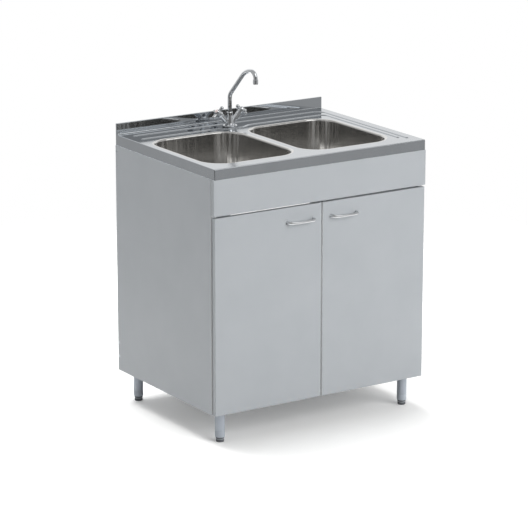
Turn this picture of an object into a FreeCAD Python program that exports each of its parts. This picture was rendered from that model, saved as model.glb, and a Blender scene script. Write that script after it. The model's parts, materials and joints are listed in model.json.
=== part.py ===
"""Kitchen sink unit: double-bowl lay-on sink and mixer tap on a two-door base cabinet with feet.

Millimetres. +Z is up, +X is to the right of someone standing in front, and +Y runs to the wall.
The origin is on the floor, in the middle of the width and of the depth over the door handles.
"""
import FreeCAD, Part
import math
import os

V = FreeCAD.Vector

# ---------------------------------------------------------------- cabinet
UNIT_WIDTH = 800.0
UNIT_DEPTH = 600.0          # door faces to the back of the cabinet
CARCASS_HEIGHT = 757.0      # side panels, without legs and sink
LEG_HEIGHT = 101.5          # floor to the underside of the cabinet
BOARD = 16.0                # laminated chipboard
RAIL_HEIGHT = 100.0
FALSE_FRONT_HEIGHT = 115.0
DOOR_STANDOFF = 2.5         # door back to the front edges of the cabinet
DOOR_SIDE_INSET = 3.0
DOOR_MID_GAP = 6.0
DOOR_TOP_GAP = 6.0

# ---------------------------------------------------------------- fittings that join the boards
FIT = 0.05                  # radial play of a pin, screw or dowel in its hole
CAM_RADIUS = 7.5
CAM_DEPTH = 12.5
CAM_FROM_END = 34.0
CAM_FROM_EDGE = 130.0       # along the depth, on the bottom panel
CAM_BOLT_RADIUS = 3.3
CAM_BOLT_THREAD_RADIUS = 2.45
CAM_BOLT_THREAD = 11.0
CAM_SLOT = (8.0, 1.4, 1.6)  # screwdriver slot: length, width, depth
BOARD_SCREW_RADIUS = 1.7
BOARD_SCREW_HEAD = 3.4
BOARD_SCREW_LENGTH = 16.0
FRONT_SCREW_RADIUS = 2.0
FRONT_SCREW_LENGTH = 30.0
FRONT_SCREW_X = (100.0, 300.0)
RAIL_SCREW_RADIUS = 3.2
RAIL_SCREW_LENGTH = 50.0
RAIL_SCREW_HEAD = (5.0, 1.0, 4.0)   # radius, rim and full height of the sunk head
RAIL_SCREW_SOCKET = (4.0, 3.0)      # across flats, depth
RAIL_SCREW_FROM_TOP = (21.0, 67.0)  # below the upper edge of a back rail

# ---------------------------------------------------------------- legs
LEG_FROM_SIDE = 48.0
LEG_FROM_FRONT = 48.0
LEG_FROM_BACK = 46.0
LEG_DIAMETER = 32.0
LEG_WALL = 1.5
LEG_PLATE = 60.0
LEG_PLATE_THICKNESS = 3.0
LEG_PLATE_CORNER = 8.0
LEG_SCREW_SPACING = 44.0
BUSH_BOTTOM = 15.8          # lower face of the bush, above the floor
BUSH_COLLAR_TOP = 33.5      # the collar is as wide as the tube
BUSH_NECK_TOP = 36.5        # lower end of the tube
BUSH_NECK_INSET = 1.2
BUSH_PLUG = 14.0            # part of the bush inside the tube
FOOT_TOP = 15.5
FOOT_BASE_DIAMETER = 26.0
FOOT_BASE_TOP = 9.6
FOOT_LINE = 1.2             # waist between the base and the ring above it
FOOT_STEM_RADIUS = 5.0
FOOT_STEM = 46.0

# ---------------------------------------------------------------- doors, handles and hinges
HANDLE_LENGTH = 106.0
HANDLE_HOLE_SPACING = 96.0
HANDLE_REACH = 26.0
HANDLE_FROM_DOOR_EDGE = 79.0    # middle of the handle from the closing edge
HANDLE_FROM_DOOR_TOP = 48.0
HANDLE_FOOT_HEIGHT = 12.0
HANDLE_GRIP_HEIGHT = 7.0
HANDLE_THICKNESS = 6.0
HANDLE_SQUARENESS = 2.6         # exponent of the bow's outline
HANDLE_STATIONS = (0.0, 7.0, 18.0, 32.0, 50.0, 70.0)    # degrees round the bow, up to its middle
HANDLE_SCREW_RADIUS = 2.0
HANDLE_SCREW_BITE = 7.0
HANDLE_SCREW_HEAD = (3.8, 2.0)  # radius, height
HINGE_FROM_END = 100.0
CUP_RADIUS = 17.5
CUP_DEPTH = 12.5
CUP_TAB = 3.0                   # door edge to the cup's bore
CUP_SHEET = 0.8
CUP_FLANGE = 1.0
CUP_FLANGE_RADIUS = 18.5
CUP_WING = (16.0, 52.0, 6.0)    # width, height and offset of the wings from the bore
CUP_DOWEL_RADIUS = 4.0
CUP_DOWEL_DEPTH = 10.0
CUP_DOWEL_SPACING = 42.0
PIVOT_INSET = 6.2               # hinge pin from the door's outer edge
PIVOT_DEPTH = 9.2               # hinge pin from the door's back
PIN_RADIUS = 1.0
EYE_RADIUS = 2.0
EYE_HALF_HEIGHT = 4.8
LUG_GAP = 0.4
LUG_HALF_WIDTH = 2.2
ARM_THICKNESS = 1.6
ARM_OFFSET = 12.8               # arm from the hinge pin
ARM_WIDTH = 18.0
ARM_REAR = 70.0                 # rear end of the arm, from the panel's front edge
PLATE_FROM_EDGE = 37.0
PLATE_BASE = 2.0
PLATE_SIZE = (18.0, 52.0)
PLATE_RIB = (46.0, 14.0)
PLATE_SCREW_SPACING = 32.0

# ---------------------------------------------------------------- sink
SHEET = 0.8
SINK_SIDE_INSET = 2.0
RIM_HEIGHT = 34.0
RIM_BEND = 3.0
RIM_RETURN = 12.0
UPSTAND_HEIGHT = 37.5
UPSTAND_THICKNESS = 6.0
UPSTAND_COVE = 4.0
BOWL_LENGTH = 398.0
BOWL_DEPTH = 160.0
BOWL_CORNER = 75.0
BOWL_DRAFT = 5.0            # each wall leans in by this much at the floor
BOWL_FLOOR_RADIUS = 35.0
BOWL_FROM_FRONT = 58.0
BOWL_FROM_LEFT = 32.0       # left bowl, from the side of the unit
BOWL_FROM_RIGHT = 86.0
BOWL_DIVIDER = 38.0
LIP_RADIUS = 6.0
LIP_SEAM = 4.0              # flat of the bowl's flange, welded flush into the deck
RIB_WIDTH = 12.0
RIB_HEIGHT = 2.4
OUTER_RIB = {"from_back": 50.0, "from_left": 44.0, "from_right": 36.0, "from_front": 54.0, "corner": 36.0}
INNER_RIB = {"from_back": 105.0, "from_left": 42.0, "from_right": 58.0, "from_front": 74.0, "corner": 24.0}
DETOUR = {"forward": 19.0, "flat": 30.0, "half_width": 60.0, "radius": 50.0}
CLIP_WIDTH = 30.0
CLIP_HEIGHT = 30.0
CLIP_SHEET = 1.5
CLIP_FROM_ENDS = 130.0

# ---------------------------------------------------------------- tap
TAP_FROM_LEFT = 379.0
TAP_FROM_BACK = 91.0
TAP_HOLE_RADIUS = 17.5
TAP_GASKET = 2.0
TAP_BASE_RADIUS = 24.5
TAP_BASE_HEIGHT = 5.0
TAP_SHANK_RADIUS = 16.0
TAP_SHANK = 36.0
TAP_INLET_RADIUS = 4.5
TAP_INLET_DEPTH = 14.0
TAP_INLET_SPACING = 16.0
BACKNUT_FLATS = 41.0
BACKNUT_HEIGHT = 8.0
COLUMN_RADIUS = 9.2
COLUMN_TOP = 36.0
SPOUT_RADIUS = 7.2
SPOUT_WALL = 1.2
SPOUT_SEAT = 18.0           # lower end of the spout inside the column
SPOUT_NUT_RADIUS = 10.0
SPOUT_NUT_HEIGHT = 11.0
SPOUT_RISE = 91.5           # top of the straight riser
SPOUT_SLOPE = 44.5          # degrees above level
SPOUT_LOW_BEND = 30.0
SPOUT_RUN = 92.5
SPOUT_CROWN_BEND = 84.0
SPOUT_NOSE_BEND = 22.0
AERATOR_RADIUS = 8.9
AERATOR_HEIGHT = 16.0
AERATOR_GRIP = 5.0          # spout end inside the aerator
VALVE_TILT = 47.0           # valve axes, degrees above level
VALVE_ARM_RADIUS = 9.2
VALVE_ARM_NECK = 8.0
VALVE_ARM_END = 51.0
VALVE_BORE_RADIUS = 7.0
VALVE_BORE_DEPTH = 16.0
HEADWORK_FLATS = 16.0
HEADWORK_HEX = 4.0
HEADWORK_NOSE = (5.0, 4.0)  # radius, length
SPINDLE_RADIUS = 3.5
SPINDLE_END = 69.0
HANDLE_CENTRE = 66.5        # tap handle's lobes, along the valve axis
LOBE_RADIUS = 6.2
LOBE_NECK = 4.4
LOBE_REACH = 26.5
HUB_RADIUS = 9.0
HUB_BOTTOM = 57.0
HUB_TOP = 75.0
INDEX_RADIUS = 6.0
INDEX_HEIGHT = 2.0

# ---------------------------------------------------------------- waste
WASTE_HOLE_RADIUS = 26.0
WASTE_RECESS_RADIUS = 37.0
WASTE_RECESS = 2.5
STRAINER_RADIUS = 35.0
STRAINER_SHEET = 1.2
STRAINER_CUP_RADIUS = 25.2
STRAINER_CUP_DEPTH = 7.0
STRAINER_HOLE_RADIUS = 2.6
STRAINER_RINGS = ((9.5, 6), (17.5, 12))     # radius and number of holes
WASTE_GASKET = 2.0
WASTE_BODY_WALL = 2.5
WASTE_CUP_DEPTH = 26.0
WASTE_SCREW_RADIUS = 3.0
WASTE_SCREW_LENGTH = 28.0
BRIDGE_WIDTH = 5.0
PIPE_RADIUS = 20.0
PIPE_WALL = 2.0
PIPE_PLAY = 0.2
SOCKET_LENGTH = 25.0
SOCKET_WALL = 3.5
UNION_FLATS = 56.0
UNION_HEIGHT = 13.0
OUTLET_LENGTH = 36.0        # waste body's outlet below its cup
ELBOW_RADIUS = 32.0
TEE_DEPTH = 90.0
TRAP_RADIUS = 36.0
TRAP_HEAD = 54.0
TRAP_CUP_DEPTH = 84.0
TRAP_THREAD = 12.0
TRAP_DIP = 34.0
TRAP_GRIPS = 12
TRAP_SIDE_OUTLET = 62.0
TRAP_OUTLET_DROP = 22.0     # outlet below the top of the trap
OUTLET_FROM_BACK = 4.0
OUTLET_MARK = (50.0, 1.0, 0.3)  # insertion mark: from the end, width, depth

# ---------------------------------------------------------------- places worked out from the sizes
HALF_WIDTH = UNIT_WIDTH / 2
Y_BACK = (UNIT_DEPTH + HANDLE_REACH) / 2
Y_FACE = Y_BACK - UNIT_DEPTH
Y_DOOR_BACK = Y_FACE + BOARD
Y_CARCASS = Y_DOOR_BACK + DOOR_STANDOFF
Z_CARCASS = LEG_HEIGHT
Z_REST = LEG_HEIGHT + CARCASS_HEIGHT
Z_DECK = Z_REST + RIM_HEIGHT
X_INNER = HALF_WIDTH - BOARD
Z_DOOR_BOTTOM = Z_CARCASS       # the doors end level with the underside
Z_DOOR_TOP = Z_REST - FALSE_FRONT_HEIGHT - DOOR_TOP_GAP
TAP_X = TAP_FROM_LEFT - HALF_WIDTH
TAP_Y = Y_BACK - TAP_FROM_BACK
Z_TAP = Z_DECK + TAP_GASKET
Z_BOWL_FLOOR = Z_DECK - BOWL_DEPTH
BOWL_WIDTH = (UNIT_WIDTH - BOWL_FROM_LEFT - BOWL_DIVIDER - BOWL_FROM_RIGHT) / 2
BOWL_Y = (Y_FACE + BOWL_FROM_FRONT, Y_FACE + BOWL_FROM_FRONT + BOWL_LENGTH)
LEFT_BOWL_X = (-HALF_WIDTH + BOWL_FROM_LEFT, -HALF_WIDTH + BOWL_FROM_LEFT + BOWL_WIDTH)
RIGHT_BOWL_X = (LEFT_BOWL_X[1] + BOWL_DIVIDER, LEFT_BOWL_X[1] + BOWL_DIVIDER + BOWL_WIDTH)
WASTE_Y = sum(BOWL_Y) / 2
LEFT_WASTE_X = sum(LEFT_BOWL_X) / 2
RIGHT_WASTE_X = sum(RIGHT_BOWL_X) / 2
HINGE_Z = (Z_DOOR_BOTTOM + HINGE_FROM_END, Z_DOOR_TOP - HINGE_FROM_END)
DOOR_WIDTH = HALF_WIDTH - DOOR_SIDE_INSET - DOOR_MID_GAP / 2
HANDLE_X = DOOR_MID_GAP / 2 + HANDLE_FROM_DOOR_EDGE
HANDLE_Z = Z_DOOR_TOP - HANDLE_FROM_DOOR_TOP
EPS = 1.0                   # how far a cutting tool runs past the face that it opens

SOLIDS = {}


# ---------------------------------------------------------------- small helpers
def box(x0, x1, y0, y1, z0, z1):
    return Part.makeBox(x1 - x0, y1 - y0, z1 - z0, V(x0, y0, z0))


def rod(radius, start, end):
    return Part.makeCylinder(radius, (end - start).Length, start, end - start)


def turned(profile, centre, axis=V(0, 0, 1)):
    """Solid of revolution of (radius, height) points about an axis through centre."""
    points = [V(r, 0, z) for r, z in profile]
    face = Part.Face(Part.makePolygon(points + [points[0]]))
    solid = face.revolve(V(0, 0, 0), V(0, 0, 1), 360)
    solid.Placement = FreeCAD.Placement(centre, FreeCAD.Rotation(V(0, 0, 1), axis))
    return solid


def rounded_rectangle(x0, x1, y0, y1, radius, z):
    edges = []
    corners = ((x1, y0, -90), (x1, y1, 0), (x0, y1, 90), (x0, y0, 180))
    arcs = []
    for x, y, start in corners:
        centre = V(x - math.copysign(radius, x - (x0 + x1) / 2), y - math.copysign(radius, y - (y0 + y1) / 2), z)
        arcs.append(Part.makeCircle(radius, centre, V(0, 0, 1), start, start + 90))
    for arc, following in zip(arcs, arcs[1:] + arcs[:1]):
        edges.append(arc)
        edges.append(Part.makeLine(arc.lastVertex().Point, following.firstVertex().Point))
    return Part.Wire(edges)


def slab(x0, x1, y0, y1, radius, z0, z1):
    face = Part.Face(rounded_rectangle(x0, x1, y0, y1, radius, z0))
    return face.extrude(V(0, 0, z1 - z0))


def prism(flats, height, centre, sides=6, axis=V(0, 0, 1)):
    """Regular prism by its width across flats."""
    corner = flats / 2 / math.cos(math.pi / sides)
    angles = [2 * math.pi * (i + 0.5) / sides for i in range(sides + 1)]
    outline = Part.makePolygon([V(corner * math.cos(a), corner * math.sin(a), 0) for a in angles])
    solid = Part.Face(outline).extrude(V(0, 0, height))
    solid.Placement = FreeCAD.Placement(centre, FreeCAD.Rotation(V(0, 0, 1), axis))
    return solid


def joined(shapes):
    first = shapes[0]
    return first.fuse(shapes[1:]) if len(shapes) > 1 else first


def mirrored(shape):
    """The same piece on the other side of the unit."""
    return shape.mirror(V(0, 0, 0), V(1, 0, 0))


def edges_at(shape, test):
    return [edge for edge in shape.Edges if test(edge.BoundBox)]


def save(name, shape):
    SOLIDS[name] = shape


# ---------------------------------------------------------------- bent routes
def route(points, radii):
    """Runs and tangent arcs through a list of points; radii belong to the inner points."""
    pieces = []
    start = points[0]
    for before, corner, after, radius in zip(points, points[1:], points[2:], radii):
        inward = (corner - before).normalize()
        outward = (after - corner).normalize()
        turn = inward.getAngle(outward)
        tangent = radius * math.tan(turn / 2)
        arc_start = corner - inward * tangent
        normal = inward.cross(outward).normalize()
        centre = arc_start + normal.cross(inward) * radius
        if (arc_start - start).Length > FIT:
            pieces.append(("run", start, arc_start))
        pieces.append(("arc", arc_start, inward, centre, normal, math.degrees(turn)))
        start = corner + outward * tangent
    pieces.append(("run", start, points[-1]))
    return pieces


def swept_rod(points, radii, radius):
    """Round bar along a route."""
    solids = []
    for piece in route(points, radii):
        if piece[0] == "run":
            solids.append(rod(radius, piece[1], piece[2]))
        else:
            _, place, direction, centre, normal, angle = piece
            disc = Part.Face(Part.Wire(Part.makeCircle(radius, place, direction)))
            solids.append(disc.revolve(centre, normal, angle))
    return joined(solids)


def swept_rib(points, radii):
    """Low rounded bead along a level route, with rounded ends, sunk half a sheet into the deck."""
    half = RIB_WIDTH / 2
    sunk = -SHEET / 2
    crest = V(0, 0, RIB_HEIGHT)
    arch = Part.Arc(V(-half, 0, 0), crest, V(half, 0, 0)).toShape()
    lower = Part.makePolygon([V(half, 0, 0), V(half, 0, sunk), V(-half, 0, sunk), V(-half, 0, 0)])
    section = Part.Face(Part.Wire([arch] + lower.Edges))
    half_section = section.common(box(0, half + EPS, -EPS, EPS, sunk - EPS, RIB_HEIGHT + EPS)).Faces[0]
    dome = half_section.revolve(V(0, 0, 0), V(0, 0, 1), 360)
    solids = []
    for piece in route(points, radii):
        place = piece[1]
        direction = (piece[2] - piece[1]).normalize() if piece[0] == "run" else piece[2]
        face = section.copy()
        face.Placement = FreeCAD.Placement(place, FreeCAD.Rotation(V(0, 1, 0), direction))
        if piece[0] == "run":
            solids.append(face.extrude(piece[2] - piece[1]))
        else:
            solids.append(face.revolve(piece[3], piece[4], piece[5]))
    for end in (points[0], points[-1]):
        nose = dome.copy()
        nose.translate(end)
        solids.append(nose)
    return joined(solids)


# ---------------------------------------------------------------- screws
def screw(tip_direction, head_seat, length, radius, head_radius, head_height):
    """Pan-head screw: the head's underside is at head_seat."""
    direction = V(tip_direction).normalize()
    shank = rod(radius, head_seat, head_seat + direction * length)
    head = turned(
        [(0, 0), (head_radius, 0), (head_radius, head_height / 2), (head_radius * 0.6, head_height), (0, head_height)],
        head_seat,
        direction * -1,
    )
    return shank.fuse(head)


def screw_hole(tip_direction, head_seat, length, radius):
    direction = V(tip_direction).normalize()
    return rod(radius + FIT, head_seat - direction * EPS, head_seat + direction * (length + EPS / 2))


# ---------------------------------------------------------------- cabinet
def leg_places():
    front = Y_FACE + LEG_FROM_FRONT
    back = Y_BACK - LEG_FROM_BACK
    side = HALF_WIDTH - LEG_FROM_SIDE
    return {
        "front_left": (-side, front),
        "front_right": (side, front),
        "back_left": (-side, back),
        "back_right": (side, back),
    }


def leg_screw_seats():
    half = LEG_SCREW_SPACING / 2
    z = Z_CARCASS - LEG_PLATE_THICKNESS
    return [V(x + a, y + b, z) for x, y in leg_places().values() for a in (-half, half) for b in (-half, half)]


def hinge_plate_seats(side):
    x = side * (X_INNER - PLATE_BASE)
    y = Y_CARCASS + PLATE_FROM_EDGE
    half = PLATE_SCREW_SPACING / 2
    return [V(x, y, z + offset) for z in HINGE_Z for offset in (-half, half)]


def clip_places():
    return [Y_CARCASS + CLIP_FROM_ENDS, Y_BACK - CLIP_FROM_ENDS]


def clip_seats(side):
    x = side * (X_INNER - CLIP_SHEET)
    return [V(x, y, Z_REST - CLIP_HEIGHT / 2) for y in clip_places()]


def cam_joints():
    """Places where a board meets a side panel: centre of the board's end, and the way the cam faces."""
    mid = BOARD / 2
    rail_mid = RAIL_HEIGHT / 2
    joints = {
        "bottom_panel": [(V(0, y, Z_CARCASS + mid), V(0, 0, -1)) for y in (Y_CARCASS + CAM_FROM_EDGE, Y_BACK - CAM_FROM_EDGE)],
        "front_rail": [(V(0, Y_DOOR_BACK + mid, Z_REST - rail_mid), V(0, 1, 0))],
    }
    return joints


def cam_tools(place, facing, side):
    """Hollow for one cam and its bolt, in the board."""
    end = V(side * X_INNER, place.y, place.z)
    centre = V(side * (X_INNER - CAM_FROM_END), place.y, place.z)
    face = centre + facing * (BOARD / 2)
    pocket = rod(CAM_RADIUS, face + facing * EPS, face - facing * CAM_DEPTH)
    tunnel = rod(CAM_BOLT_RADIUS + 5 * FIT, end + V(side * EPS, 0, 0), centre)
    return pocket.fuse(tunnel)


def cam_lock(place, facing, side):
    centre = V(side * (X_INNER - CAM_FROM_END), place.y, place.z)
    face = centre + facing * (BOARD / 2)
    body = rod(CAM_RADIUS - FIT, face, face - facing * CAM_DEPTH)
    mouth = rod(CAM_BOLT_RADIUS + FIT, centre, centre + V(side * CAM_RADIUS * 2, 0, 0))
    length, width, depth = CAM_SLOT
    slot = Part.makeBox(length, width, depth + EPS, V(-length / 2, -width / 2, -depth))
    slot.Placement = FreeCAD.Placement(face, FreeCAD.Rotation(V(0, 0, 1), facing)).multiply(slot.Placement)
    return body.cut(mouth).cut(slot)


def cam_bolt(place, side):
    panel = V(side * X_INNER, place.y, place.z)
    tip = V(side * (X_INNER - CAM_FROM_END + CAM_RADIUS * 0.4), place.y, place.z)
    thread = rod(CAM_BOLT_THREAD_RADIUS, panel, panel + V(side * CAM_BOLT_THREAD, 0, 0))
    shaft = rod(CAM_BOLT_RADIUS, tip, panel)
    waist = rod(CAM_BOLT_RADIUS + EPS, tip + V(side * 2.2, 0, 0), tip + V(side * 5.0, 0, 0))
    core = rod(CAM_BOLT_RADIUS * 0.6, tip + V(side * 2.2, 0, 0), tip + V(side * 5.0, 0, 0))
    return shaft.cut(waist.cut(core)).fuse(thread)


def rail_screw_seats(side):
    """Heads of the screws that hold each back rail, flush in the outer face of a side panel."""
    tops = {"back_top_rail": Z_REST, "back_bottom_rail": Z_CARCASS + BOARD + RAIL_HEIGHT}
    return {
        name: [V(side * HALF_WIDTH, Y_BACK - BOARD / 2, top - drop) for drop in RAIL_SCREW_FROM_TOP]
        for name, top in tops.items()
    }


def rail_screw(seat, side):
    head_radius, rim, head_height = RAIL_SCREW_HEAD
    profile = [
        (0, 0), (head_radius, 0), (head_radius, rim), (RAIL_SCREW_RADIUS, head_height),
        (RAIL_SCREW_RADIUS, RAIL_SCREW_LENGTH), (0, RAIL_SCREW_LENGTH),
    ]
    inward = V(-side, 0, 0)
    flats, depth = RAIL_SCREW_SOCKET
    socket = prism(flats, depth + EPS, seat - inward * EPS, axis=inward)
    return turned(profile, seat, inward).cut(socket)


def rail_screw_hole(seat, side):
    head_radius, rim, head_height = RAIL_SCREW_HEAD
    end = RAIL_SCREW_LENGTH + EPS / 2
    profile = [
        (0, -EPS), (head_radius + FIT, -EPS), (head_radius + FIT, rim), (RAIL_SCREW_RADIUS + FIT, head_height),
        (RAIL_SCREW_RADIUS + FIT, end), (0, end),
    ]
    return turned(profile, seat, V(-side, 0, 0))


def make_cabinet():
    boards = {
        "bottom_panel": box(-X_INNER, X_INNER, Y_CARCASS, Y_BACK, Z_CARCASS, Z_CARCASS + BOARD),
        "front_rail": box(-X_INNER, X_INNER, Y_DOOR_BACK, Y_DOOR_BACK + BOARD, Z_REST - RAIL_HEIGHT, Z_REST),
        "back_top_rail": box(-X_INNER, X_INNER, Y_BACK - BOARD, Y_BACK, Z_REST - RAIL_HEIGHT, Z_REST),
        "back_bottom_rail": box(
            -X_INNER, X_INNER, Y_BACK - BOARD, Y_BACK, Z_CARCASS + BOARD, Z_CARCASS + BOARD + RAIL_HEIGHT
        ),
    }
    sides = {"left": -1, "right": 1}
    locks = []
    bolts = []
    bolt_holes = {side: [] for side in sides.values()}
    for name, joints in cam_joints().items():
        tools = []
        for place, facing in joints:
            for side in sides.values():
                tools.append(cam_tools(place, facing, side))
                locks.append(cam_lock(place, facing, side))
                bolts.append(cam_bolt(place, side))
                start = V(side * (X_INNER - EPS), place.y, place.z)
                end = V(side * (X_INNER + CAM_BOLT_THREAD + FIT), place.y, place.z)
                bolt_holes[side].append(rod(CAM_BOLT_THREAD_RADIUS + FIT, start, end))
        boards[name] = boards[name].cut(tools)

    for side in sides.values():
        for name, seats in rail_screw_seats(side).items():
            boards[name] = boards[name].cut([rail_screw_hole(seat, side) for seat in seats])

    up = V(0, 0, 1)
    leg_holes = [screw_hole(up, seat, BOARD_SCREW_LENGTH, BOARD_SCREW_RADIUS) for seat in leg_screw_seats()]
    boards["bottom_panel"] = boards["bottom_panel"].cut(leg_holes)

    false_front = box(-HALF_WIDTH, HALF_WIDTH, Y_FACE, Y_DOOR_BACK, Z_REST - FALSE_FRONT_HEIGHT, Z_REST)
    screws = []
    for x in FRONT_SCREW_X:
        for side in sides.values():
            seat = V(side * x, Y_DOOR_BACK + BOARD, Z_REST - RAIL_HEIGHT / 2)
            forward = V(0, -1, 0)
            screws.append(screw(forward, seat, FRONT_SCREW_LENGTH, FRONT_SCREW_RADIUS, 4.0, 2.2))
            hole = screw_hole(forward, seat, FRONT_SCREW_LENGTH, FRONT_SCREW_RADIUS)
            false_front = false_front.cut(hole)
            boards["front_rail"] = boards["front_rail"].cut(hole)
    save("false_front", false_front)
    save("false_front_screws", Part.makeCompound(screws))
    for name, board in boards.items():
        save(name, board)
    save("cam_locks", Part.makeCompound(locks))
    save("cam_bolts", Part.makeCompound(bolts))

    board_screws = [
        screw(up, seat, BOARD_SCREW_LENGTH, BOARD_SCREW_RADIUS, BOARD_SCREW_HEAD, 1.8) for seat in leg_screw_seats()
    ]
    rail_screws = []
    for name, side in sides.items():
        panel = box(-HALF_WIDTH, -X_INNER, Y_CARCASS, Y_BACK, Z_CARCASS, Z_REST)
        panel = panel if side < 0 else mirrored(panel)
        outward = V(side, 0, 0)
        holes = list(bolt_holes[side])
        for seat in hinge_plate_seats(side) + clip_seats(side):
            reach = BOARD_SCREW_LENGTH - CLIP_SHEET
            board_screws.append(screw(outward, seat, reach, BOARD_SCREW_RADIUS, BOARD_SCREW_HEAD, 1.8))
            holes.append(screw_hole(outward, seat, reach, BOARD_SCREW_RADIUS))
        for seats in rail_screw_seats(side).values():
            rail_screws.extend(rail_screw(seat, side) for seat in seats)
            holes.extend(rail_screw_hole(seat, side) for seat in seats)
        save(name + "_side_panel", panel.cut(holes))
    save("rail_screws", Part.makeCompound(rail_screws))
    save("chipboard_screws", Part.makeCompound(board_screws))


# ---------------------------------------------------------------- legs and feet
def make_legs():
    radius = LEG_DIAMETER / 2
    bore_radius = radius - LEG_WALL
    plate_bottom = Z_CARCASS - LEG_PLATE_THICKNESS
    half = LEG_PLATE / 2
    spread = LEG_SCREW_SPACING / 2
    bushes = []
    for name, (x, y) in leg_places().items():
        plate = slab(x - half, x + half, y - half, y + half, LEG_PLATE_CORNER, plate_bottom, Z_CARCASS)
        holes = [
            rod(BOARD_SCREW_RADIUS + FIT, V(x + a, y + b, plate_bottom - EPS), V(x + a, y + b, Z_CARCASS + EPS))
            for a in (-spread, spread)
            for b in (-spread, spread)
        ]
        tube = rod(radius, V(x, y, BUSH_NECK_TOP), V(x, y, plate_bottom))
        bore = rod(bore_radius, V(x, y, BUSH_NECK_TOP - EPS), V(x, y, plate_bottom))
        save(name + "_leg", plate.cut(holes).fuse(tube.cut(bore)))

        thread = FOOT_STEM_RADIUS + FIT
        neck = radius - BUSH_NECK_INSET
        plug = bore_radius - FIT
        bush = [
            (thread, BUSH_BOTTOM), (radius - 1.0, BUSH_BOTTOM), (radius, BUSH_BOTTOM + 1.0),
            (radius, BUSH_COLLAR_TOP), (neck, BUSH_COLLAR_TOP), (neck, BUSH_NECK_TOP), (plug, BUSH_NECK_TOP),
            (plug, BUSH_NECK_TOP + BUSH_PLUG), (thread, BUSH_NECK_TOP + BUSH_PLUG),
        ]
        bushes.append(turned(bush, V(x, y, 0)))

        base = FOOT_BASE_DIAMETER / 2
        ring_bottom = FOOT_BASE_TOP + FOOT_LINE
        foot = [
            (0, 0), (base - 0.8, 0), (base, 0.8), (base + 0.3, FOOT_BASE_TOP - 0.6), (base - 0.3, FOOT_BASE_TOP),
            (base - 0.8, FOOT_BASE_TOP), (base - 0.8, ring_bottom), (base + 0.3, ring_bottom),
            (base + 0.7, ring_bottom + 0.5), (base + 0.7, FOOT_TOP - 0.5), (base + 0.2, FOOT_TOP),
            (FOOT_STEM_RADIUS, FOOT_TOP), (FOOT_STEM_RADIUS, FOOT_TOP + FOOT_STEM), (0, FOOT_TOP + FOOT_STEM),
        ]
        save(name + "_foot", turned(foot, V(x, y, 0)))
    save("leg_bushes", Part.makeCompound(bushes))


# ---------------------------------------------------------------- doors
def hinge_pivot():
    """Hinge pin of the left door."""
    return V(-HALF_WIDTH + DOOR_SIDE_INSET + PIVOT_INSET, Y_DOOR_BACK - PIVOT_DEPTH, 0)


def cup_centre(z):
    return V(-HALF_WIDTH + DOOR_SIDE_INSET + CUP_TAB + CUP_RADIUS, Y_DOOR_BACK, z)


def dowel_places(z):
    width, height, offset = CUP_WING
    centre = cup_centre(z)
    return [V(centre.x + offset, centre.y, z + side * CUP_DOWEL_SPACING / 2) for side in (-1, 1)]


def hinge_cup(z):
    centre = cup_centre(z)
    pivot = hinge_pivot()
    forward = V(0, -1, 0)
    width, height, offset = CUP_WING
    outside = rod(CUP_RADIUS - FIT, centre, centre + forward * CUP_DEPTH)
    rim = rod(CUP_FLANGE_RADIUS, centre, centre - forward * CUP_FLANGE)
    wing_x = centre.x + offset
    wing = box(
        wing_x - width / 2, wing_x + width / 2, centre.y, centre.y + CUP_FLANGE, z - height / 2, z + height / 2
    )
    wing = wing.makeFillet(4.0, edges_at(wing, lambda b: b.YLength > CUP_FLANGE / 2 and b.XLength < 0.1))
    dowels = [rod(CUP_DOWEL_RADIUS, place, place + forward * CUP_DOWEL_DEPTH) for place in dowel_places(z)]
    hollow = rod(
        CUP_RADIUS - FIT - CUP_SHEET, centre - forward * (CUP_FLANGE + EPS), centre + forward * (CUP_DEPTH - CUP_SHEET)
    )
    window_half = EYE_HALF_HEIGHT + LUG_GAP
    window = box(
        centre.x - CUP_FLANGE_RADIUS + CUP_SHEET, pivot.x, centre.y - CUP_DEPTH + CUP_SHEET,
        centre.y + CUP_FLANGE + EPS, z - window_half, z + window_half
    )
    lugs = box(
        pivot.x - LUG_HALF_WIDTH, pivot.x + LUG_HALF_WIDTH, centre.y - CUP_DEPTH, pivot.y + LUG_HALF_WIDTH,
        z - CUP_RADIUS, z + CUP_RADIUS
    )
    lugs = lugs.cut(box(pivot.x - CUP_RADIUS, pivot.x + CUP_RADIUS, centre.y - CUP_DEPTH - EPS, centre.y,
                        z - window_half, z + window_half)).common(outside)
    pin = rod(PIN_RADIUS, V(pivot.x, pivot.y, z - window_half - 2), V(pivot.x, pivot.y, z + window_half + 2))
    shell = joined([outside, rim, wing] + dowels).cut([hollow, window])
    return shell.fuse([lugs, pin])


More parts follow.
